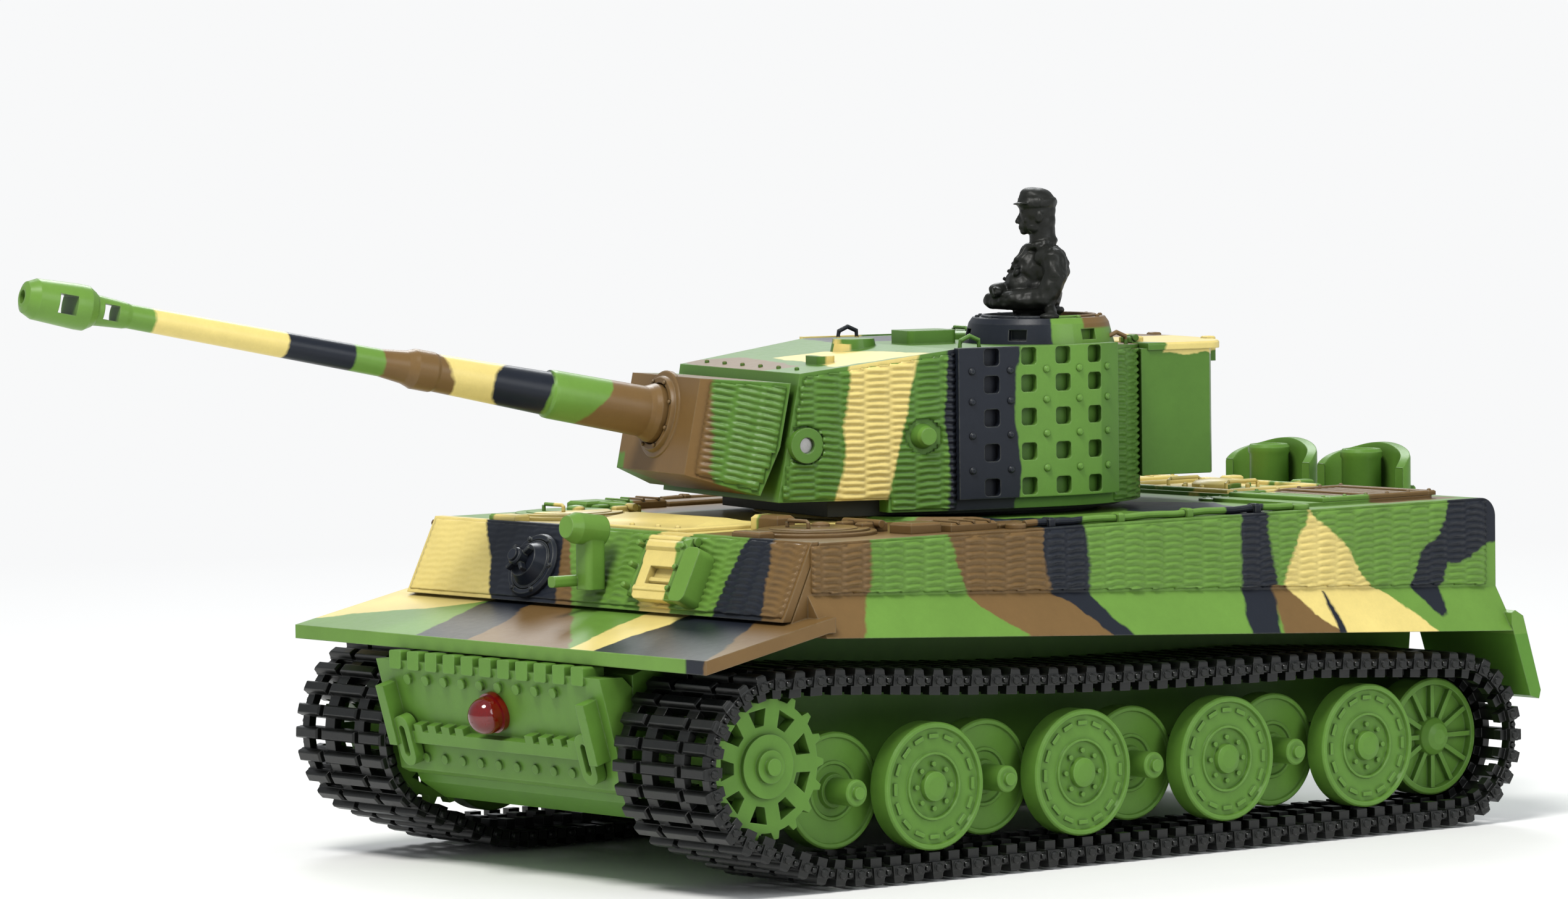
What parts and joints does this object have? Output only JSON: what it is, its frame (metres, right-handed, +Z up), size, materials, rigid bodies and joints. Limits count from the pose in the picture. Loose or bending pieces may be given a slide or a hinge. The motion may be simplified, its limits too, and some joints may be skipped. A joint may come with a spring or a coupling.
{
  "type": "radio-controlled micro tank",
  "caption": "Small radio-controlled tank with rubber tracks, interleaved road wheels, turning turret, tilting gun and a crew figure in the cupola.",
  "frame": {"origin": "ground point under the centre of the whole model's bounding box, gun included", "axes": "+Z up, the gun end faces -Y, the tank's left side is +X"},
  "size_m": [0.053, 0.1228, 0.0531],
  "materials": {
    "green_plastic": "moulded green plastic, satin",
    "camouflage_plastic": "green plastic with sprayed camouflage patches in sand, brown and navy",
    "black_rubber": "moulded black rubber, slightly glossy",
    "dark_plastic": "black plastic",
    "figure_plastic": "soft near-black plastic",
    "red_lens": "clear red epoxy lens",
    "steel": "plated steel",
    "brass": "turned brass",
    "acetal": "white acetal",
    "battery_wrap": "shrink-wrapped cell pack",
    "circuit_board": "green solder mask"
  },
  "bodies": {
    "hull": {"axle_bushes": "brass", "battery": "battery_wrap", "battery_cover": "dark_plastic", "charge_socket": "dark_plastic", "control_board": "circuit_board", "drive_motors": "steel", "driver_plate": "camouflage_plastic", "exhaust_shields": "green_plastic", "front_fittings": "camouflage_plastic", "gearbox_brackets": "acetal", "hull_screws": "steel", "led_lens": "red_lens", "lower_hull": "green_plastic", "nose_plate": "green_plastic", "switch_housing": "dark_plastic", "track_left": "black_rubber", "track_right": "black_rubber", "turret_motor": "steel", "upper_hull": "camouflage_plastic", "wheel_pins": "steel"},
    "drive_left": {"sprocket_left": "green_plastic", "drive_axle_left": "acetal"},
    "compound_gear_left": {"compound_gear_left": "acetal"},
    "motor_pinion_left": {"motor_pinion_left": "brass"},
    "drive_right": {"sprocket_right": "green_plastic", "drive_axle_right": "acetal"},
    "compound_gear_right": {"compound_gear_right": "acetal"},
    "motor_pinion_right": {"motor_pinion_right": "brass"},
    "idler_wheel_left": {"idler_wheel_left": "green_plastic"},
    "idler_wheel_right": {"idler_wheel_right": "green_plastic"},
    "inner_wheel_1_left": {"inner_wheel_1_left": "green_plastic"},
    "inner_wheel_1_right": {"inner_wheel_1_right": "green_plastic"},
    "inner_wheel_2_left": {"inner_wheel_2_left": "green_plastic"},
    "inner_wheel_2_right": {"inner_wheel_2_right": "green_plastic"},
    "inner_wheel_3_left": {"inner_wheel_3_left": "green_plastic"},
    "inner_wheel_3_right": {"inner_wheel_3_right": "green_plastic"},
    "inner_wheel_4_left": {"inner_wheel_4_left": "green_plastic"},
    "inner_wheel_4_right": {"inner_wheel_4_right": "green_plastic"},
    "outer_wheel_1_left": {"outer_wheel_1_left": "green_plastic"},
    "outer_wheel_1_right": {"outer_wheel_1_right": "green_plastic"},
    "outer_wheel_2_left": {"outer_wheel_2_left": "green_plastic"},
    "outer_wheel_2_right": {"outer_wheel_2_right": "green_plastic"},
    "outer_wheel_3_left": {"outer_wheel_3_left": "green_plastic"},
    "outer_wheel_3_right": {"outer_wheel_3_right": "green_plastic"},
    "outer_wheel_4_left": {"outer_wheel_4_left": "green_plastic"},
    "outer_wheel_4_right": {"outer_wheel_4_right": "green_plastic"},
    "turret": {"turret_shell": "camouflage_plastic", "turret_base": "dark_plastic", "turret_ring_gear": "acetal", "turret_screws": "steel", "cupola": "camouflage_plastic", "commander_figure": "figure_plastic", "stowage_bin": "camouflage_plastic", "spare_link_panels": "camouflage_plastic", "trunnion_pins": "steel"},
    "gun": {"mantlet": "camouflage_plastic", "gun_barrel": "camouflage_plastic"},
    "turret_pinion": {"turret_pinion": "brass"},
    "switch_slider": {"switch_slider": "dark_plastic"}
  },
  "joints": [
    {"name": "drive_left", "type": "hinge", "parent": "hull", "child": "drive_left", "pos_m": [0.02, -0.02273, 0.00986], "axis": [1, 0, 0], "continuous": true},
    {"name": "reduction_left", "type": "hinge", "parent": "hull", "child": "compound_gear_left", "pos_m": [0.01, -0.0181, 0.01115], "axis": [1, 0, 0], "continuous": true},
    {"name": "motor_left", "type": "hinge", "parent": "hull", "child": "motor_pinion_left", "pos_m": [0.01, -0.01156, 0.01205], "axis": [1, 0, 0], "continuous": true},
    {"name": "outer_wheel_1_left", "type": "hinge", "parent": "hull", "child": "outer_wheel_1_left", "pos_m": [0.0249, -0.00653, 0.00723], "axis": [1, 0, 0], "continuous": true},
    {"name": "outer_wheel_2_left", "type": "hinge", "parent": "hull", "child": "outer_wheel_2_left", "pos_m": [0.0249, 0.00897, 0.00723], "axis": [1, 0, 0], "continuous": true},
    {"name": "outer_wheel_3_left", "type": "hinge", "parent": "hull", "child": "outer_wheel_3_left", "pos_m": [0.0249, 0.02447, 0.00723], "axis": [1, 0, 0], "continuous": true},
    {"name": "outer_wheel_4_left", "type": "hinge", "parent": "hull", "child": "outer_wheel_4_left", "pos_m": [0.0249, 0.03997, 0.00723], "axis": [1, 0, 0], "continuous": true},
    {"name": "inner_wheel_1_left", "type": "hinge", "parent": "hull", "child": "inner_wheel_1_left", "pos_m": [0.0218, -0.01423, 0.00723], "axis": [1, 0, 0], "continuous": true},
    {"name": "inner_wheel_2_left", "type": "hinge", "parent": "hull", "child": "inner_wheel_2_left", "pos_m": [0.0218, 0.00127, 0.00723], "axis": [1, 0, 0], "continuous": true},
    {"name": "inner_wheel_3_left", "type": "hinge", "parent": "hull", "child": "inner_wheel_3_left", "pos_m": [0.0218, 0.01677, 0.00723], "axis": [1, 0, 0], "continuous": true},
    {"name": "inner_wheel_4_left", "type": "hinge", "parent": "hull", "child": "inner_wheel_4_left", "pos_m": [0.0218, 0.03227, 0.00723], "axis": [1, 0, 0], "continuous": true},
    {"name": "idler_wheel_left", "type": "hinge", "parent": "hull", "child": "idler_wheel_left", "pos_m": [0.0218, 0.04997, 0.00714], "axis": [1, 0, 0], "continuous": true},
    {"name": "drive_right", "type": "hinge", "parent": "hull", "child": "drive_right", "pos_m": [-0.02, -0.02273, 0.00986], "axis": [1, 0, 0], "continuous": true},
    {"name": "reduction_right", "type": "hinge", "parent": "hull", "child": "compound_gear_right", "pos_m": [-0.01, -0.0181, 0.01115], "axis": [1, 0, 0], "continuous": true},
    {"name": "motor_right", "type": "hinge", "parent": "hull", "child": "motor_pinion_right", "pos_m": [-0.01, -0.01156, 0.01205], "axis": [1, 0, 0], "continuous": true},
    {"name": "outer_wheel_1_right", "type": "hinge", "parent": "hull", "child": "outer_wheel_1_right", "pos_m": [-0.0249, -0.00653, 0.00723], "axis": [1, 0, 0], "continuous": true},
    {"name": "outer_wheel_2_right", "type": "hinge", "parent": "hull", "child": "outer_wheel_2_right", "pos_m": [-0.0249, 0.00897, 0.00723], "axis": [1, 0, 0], "continuous": true},
    {"name": "outer_wheel_3_right", "type": "hinge", "parent": "hull", "child": "outer_wheel_3_right", "pos_m": [-0.0249, 0.02447, 0.00723], "axis": [1, 0, 0], "continuous": true},
    {"name": "outer_wheel_4_right", "type": "hinge", "parent": "hull", "child": "outer_wheel_4_right", "pos_m": [-0.0249, 0.03997, 0.00723], "axis": [1, 0, 0], "continuous": true},
    {"name": "inner_wheel_1_right", "type": "hinge", "parent": "hull", "child": "inner_wheel_1_right", "pos_m": [-0.0218, -0.01423, 0.00723], "axis": [1, 0, 0], "continuous": true},
    {"name": "inner_wheel_2_right", "type": "hinge", "parent": "hull", "child": "inner_wheel_2_right", "pos_m": [-0.0218, 0.00127, 0.00723], "axis": [1, 0, 0], "continuous": true},
    {"name": "inner_wheel_3_right", "type": "hinge", "parent": "hull", "child": "inner_wheel_3_right", "pos_m": [-0.0218, 0.01677, 0.00723], "axis": [1, 0, 0], "continuous": true},
    {"name": "inner_wheel_4_right", "type": "hinge", "parent": "hull", "child": "inner_wheel_4_right", "pos_m": [-0.0218, 0.03227, 0.00723], "axis": [1, 0, 0], "continuous": true},
    {"name": "idler_wheel_right", "type": "hinge", "parent": "hull", "child": "idler_wheel_right", "pos_m": [-0.0218, 0.04997, 0.00714], "axis": [1, 0, 0], "continuous": true},
    {"name": "turret_yaw", "type": "hinge", "parent": "hull", "child": "turret", "pos_m": [0, 0.02037, 0.03], "axis": [0, 0, 1], "range_deg": [-152, 178]},
    {"name": "turret_drive", "type": "hinge", "parent": "hull", "child": "turret_pinion", "pos_m": [0, 0.03337, 0.0245], "axis": [0, 0, 1], "range_deg": [-1110, 1110]},
    {"name": "gun_elevation", "type": "hinge", "parent": "turret", "child": "gun", "pos_m": [-0.00479, -0.00038, 0.033], "axis": [-0.9744, 0.225, 0], "range_deg": [-11.4, 4.6]},
    {"name": "power_switch", "type": "slide", "parent": "hull", "child": "switch_slider", "axis": [1, 0, 0], "range_m": [0, 0.0021]}
  ],
  "couplings": [
    {"joint": "reduction_left", "follows": "drive_left", "ratio": -1.4},
    {"joint": "motor_left", "follows": "drive_left", "ratio": 3.7333},
    {"joint": "outer_wheel_1_left", "follows": "drive_left", "ratio": 1.2599},
    {"joint": "outer_wheel_2_left", "follows": "drive_left", "ratio": 1.2599},
    {"joint": "outer_wheel_3_left", "follows": "drive_left", "ratio": 1.2599},
    {"joint": "outer_wheel_4_left", "follows": "drive_left", "ratio": 1.2599},
    {"joint": "inner_wheel_1_left", "follows": "drive_left", "ratio": 1.3804},
    {"joint": "inner_wheel_2_left", "follows": "drive_left", "ratio": 1.3804},
    {"joint": "inner_wheel_3_left", "follows": "drive_left", "ratio": 1.3804},
    {"joint": "inner_wheel_4_left", "follows": "drive_left", "ratio": 1.3804},
    {"joint": "idler_wheel_left", "follows": "drive_left", "ratio": 1.3093},
    {"joint": "reduction_right", "follows": "drive_right", "ratio": -1.4},
    {"joint": "motor_right", "follows": "drive_right", "ratio": 3.7333},
    {"joint": "outer_wheel_1_right", "follows": "drive_right", "ratio": 1.2599},
    {"joint": "outer_wheel_2_right", "follows": "drive_right", "ratio": 1.2599},
    {"joint": "outer_wheel_3_right", "follows": "drive_right", "ratio": 1.2599},
    {"joint": "outer_wheel_4_right", "follows": "drive_right", "ratio": 1.2599},
    {"joint": "inner_wheel_1_right", "follows": "drive_right", "ratio": 1.3804},
    {"joint": "inner_wheel_2_right", "follows": "drive_right", "ratio": 1.3804},
    {"joint": "inner_wheel_3_right", "follows": "drive_right", "ratio": 1.3804},
    {"joint": "inner_wheel_4_right", "follows": "drive_right", "ratio": 1.3804},
    {"joint": "idler_wheel_right", "follows": "drive_right", "ratio": 1.3093},
    {"joint": "turret_drive", "follows": "turret_yaw", "ratio": -6.2222}
  ]
}
